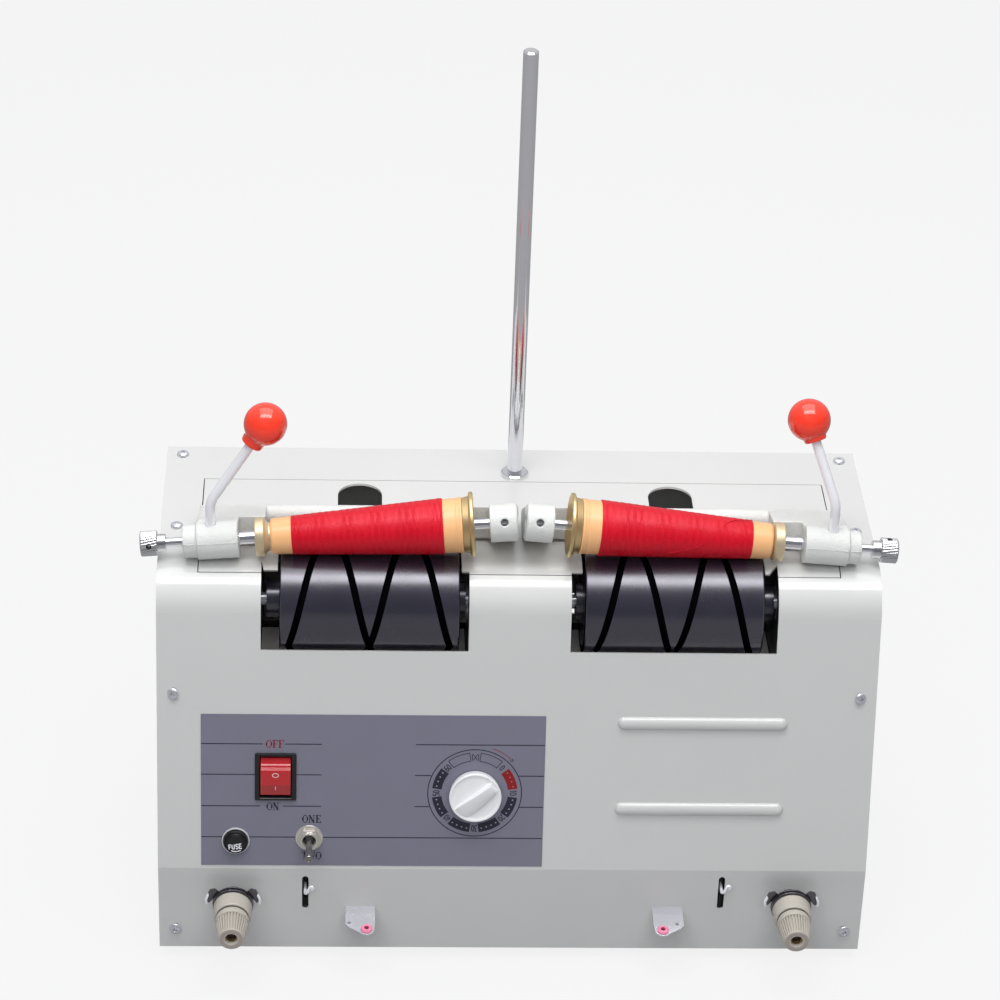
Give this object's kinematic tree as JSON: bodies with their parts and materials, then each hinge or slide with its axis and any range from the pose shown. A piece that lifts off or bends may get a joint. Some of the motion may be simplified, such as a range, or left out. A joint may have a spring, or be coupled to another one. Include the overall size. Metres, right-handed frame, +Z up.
{
  "type": "yarn cone winder",
  "caption": "Two-head table-top yarn winder: grooved drums in a sloping sheet-metal housing turn cones held in lifting cradles, with switches, speed dial and tensioners.",
  "frame": {"origin": "middle of the whole machine's base, on the surface the rubber feet stand on", "axes": "+Z up, -Y towards the user at the sloping control panel, +X to the user's right, along the drums"},
  "size_m": [0.461, 0.2514, 0.5465],
  "materials": {
    "grey_paint": "satin",
    "black_plastic": "satin",
    "bright_steel": "bright",
    "black_rubber": "matte",
    "slate_label": "satin",
    "red_plastic": "glossy",
    "nickel": "bright",
    "white_plastic": "satin",
    "board_green": "satin",
    "dark_steel": "satin",
    "chrome": "polished",
    "beige_plastic": "satin",
    "pink_ceramic": "glossy",
    "drum_black": "glossy",
    "aluminium": "machined",
    "cast_grey": "rough cast",
    "brass": "satin",
    "tan_plastic": "satin",
    "red_yarn": "thread wound"
  },
  "bodies": {
    "housing": {"front_cover": "grey_paint", "top_lid": "grey_paint", "chassis": "grey_paint", "rear_panel": "grey_paint", "cable_gland": "black_plastic", "cover_screws": "bright_steel", "rubber_feet": "black_rubber", "control_label": "slate_label", "rocker_frame": "black_plastic", "toggle_body": "nickel", "fuse_holder": "black_plastic", "potentiometer": "nickel", "control_board": "board_green", "bearing_brackets": "dark_steel", "drum_bearings": "bright_steel", "pivot_shafts": "bright_steel", "motors": "dark_steel", "drive_belts": "black_rubber", "tension_posts": "chrome", "tension_cups": "beige_plastic", "eyelet_brackets": "bright_steel", "ceramic_eyelets": "pink_ceramic", "stand_pole": "chrome", "pole_nuts": "chrome"},
    "rocker": {"rocker": "red_plastic"},
    "toggle_lever": {"toggle_lever": "nickel"},
    "speed_knob": {"speed_knob": "white_plastic"},
    "fuse_cap": {"fuse_cap": "black_plastic"},
    "left_drum": {"left_drum": "drum_black", "left_drum_shaft": "bright_steel", "left_drum_pulley": "aluminium"},
    "left_rotor": {"left_motor_pulley": "aluminium"},
    "left_cradle": {"left_cradle": "cast_grey", "left_lever_rod": "chrome", "left_lever_ball": "red_plastic", "left_spindle": "chrome"},
    "left_plunger": {"left_plunger": "chrome", "left_plunger_knob": "aluminium"},
    "left_small_centre": {"left_small_centre": "brass"},
    "left_cone": {"left_big_centre": "brass", "left_cone_tube": "tan_plastic", "left_yarn": "red_yarn"},
    "left_tension_knob": {"left_tension_knob": "beige_plastic"},
    "left_stop_pin": {"left_stop_pin": "chrome"},
    "right_drum": {"right_drum": "drum_black", "right_drum_shaft": "bright_steel", "right_drum_pulley": "aluminium"},
    "right_rotor": {"right_motor_pulley": "aluminium"},
    "right_cradle": {"right_cradle": "cast_grey", "right_lever_rod": "chrome", "right_lever_ball": "red_plastic", "right_spindle": "chrome"},
    "right_plunger": {"right_plunger": "chrome", "right_plunger_knob": "aluminium"},
    "right_small_centre": {"right_small_centre": "brass"},
    "right_cone": {"right_big_centre": "brass", "right_cone_tube": "tan_plastic", "right_yarn": "red_yarn"},
    "right_tension_knob": {"right_tension_knob": "beige_plastic"},
    "right_stop_pin": {"right_stop_pin": "chrome"}
  },
  "joints": [
    {"name": "power_rocker", "type": "hinge", "parent": "housing", "child": "rocker", "pos_m": [-0.1476, -0.06456, 0.12863], "axis": [1, 0, 0], "range_deg": [0, 18]},
    {"name": "head_toggle", "type": "hinge", "parent": "housing", "child": "toggle_lever", "pos_m": [-0.1268, -0.07787, 0.09005], "axis": [-1, 0, 0], "range_deg": [0, 26]},
    {"name": "speed_dial", "type": "hinge", "parent": "housing", "child": "speed_knob", "pos_m": [-0.0254, -0.06957, 0.11947], "axis": [0, 0.9781, -0.2079], "range_deg": [0, 270]},
    {"name": "fuse_bayonet", "type": "hinge", "parent": "housing", "child": "fuse_cap", "pos_m": [-0.172, -0.07631, 0.08778], "axis": [0, -0.9781, 0.2079], "range_deg": [0, 90]},
    {"name": "left_drum_spin", "type": "hinge", "parent": "housing", "child": "left_drum", "pos_m": [-0.094, -0.01798, 0.22751], "axis": [1, 0, 0], "continuous": true},
    {"name": "left_motor_spin", "type": "hinge", "parent": "housing", "child": "left_rotor", "pos_m": [-0.0145, 0.0307, 0.078], "axis": [1, 0, 0], "continuous": true},
    {"name": "left_cradle_lift", "type": "hinge", "parent": "housing", "child": "left_cradle", "pos_m": [-0.0974, 0.0577, 0.236], "axis": [-1, 0, 0], "range_deg": [0, 40]},
    {"name": "left_plunger_pull", "type": "slide", "parent": "left_cradle", "child": "left_plunger", "axis": [-0.9968, 0, -0.0802], "range_m": [0, 0.008], "stiffness_N_per_m": 600, "springref_m": -0.012},
    {"name": "left_cone_spin", "type": "hinge", "parent": "left_cradle", "child": "left_cone", "pos_m": [-0.093, -0.01798, 0.2764], "axis": [0.9968, 0, 0.0802], "continuous": true},
    {"name": "left_small_centre_spin", "type": "hinge", "parent": "left_plunger", "child": "left_small_centre", "pos_m": [-0.093, -0.01798, 0.2764], "axis": [0.9968, 0, 0.0802], "continuous": true},
    {"name": "left_tension_turn", "type": "hinge", "parent": "housing", "child": "left_tension_knob", "pos_m": [-0.1735, -0.1103, 0.049], "axis": [0, -1, 0], "range_deg": [-360, 360]},
    {"name": "left_stop_lift", "type": "hinge", "parent": "housing", "child": "left_stop_pin", "pos_m": [-0.129, -0.0433, 0.0524], "axis": [-1, 0, 0], "range_deg": [-18, 12], "stiffness_Nm_per_rad": 0.05},
    {"name": "right_drum_spin", "type": "hinge", "parent": "housing", "child": "right_drum", "pos_m": [0.094, -0.01798, 0.22751], "axis": [1, 0, 0], "continuous": true},
    {"name": "right_motor_spin", "type": "hinge", "parent": "housing", "child": "right_rotor", "pos_m": [0.0145, 0.0307, 0.078], "axis": [1, 0, 0], "continuous": true},
    {"name": "right_cradle_lift", "type": "hinge", "parent": "housing", "child": "right_cradle", "pos_m": [0.0974, 0.0577, 0.236], "axis": [-1, 0, 0], "range_deg": [0, 40]},
    {"name": "right_plunger_pull", "type": "slide", "parent": "right_cradle", "child": "right_plunger", "axis": [0.9968, 0, -0.0802], "range_m": [0, 0.008], "stiffness_N_per_m": 600, "springref_m": -0.012},
    {"name": "right_cone_spin", "type": "hinge", "parent": "right_cradle", "child": "right_cone", "pos_m": [0.093, -0.01798, 0.2764], "axis": [0.9968, 0, -0.0802], "continuous": true},
    {"name": "right_small_centre_spin", "type": "hinge", "parent": "right_plunger", "child": "right_small_centre", "pos_m": [0.093, -0.01798, 0.2764], "axis": [0.9968, 0, -0.0802], "continuous": true},
    {"name": "right_tension_turn", "type": "hinge", "parent": "housing", "child": "right_tension_knob", "pos_m": [0.1735, -0.1103, 0.049], "axis": [0, -1, 0], "range_deg": [-360, 360]},
    {"name": "right_stop_lift", "type": "hinge", "parent": "housing", "child": "right_stop_pin", "pos_m": [0.1305, -0.0433, 0.0545], "axis": [-1, 0, 0], "range_deg": [-18, 11], "stiffness_Nm_per_rad": 0.05}
  ],
  "couplings": [
    {"joint": "left_motor_spin", "follows": "left_drum_spin", "ratio": 2.1856},
    {"joint": "left_cone_spin", "follows": "left_drum_spin", "ratio": -2.2877},
    {"joint": "left_small_centre_spin", "follows": "left_drum_spin", "ratio": -2.2877},
    {"joint": "right_motor_spin", "follows": "right_drum_spin", "ratio": 2.1856},
    {"joint": "right_cone_spin", "follows": "right_drum_spin", "ratio": -2.2877},
    {"joint": "right_small_centre_spin", "follows": "right_drum_spin", "ratio": -2.2877}
  ]
}
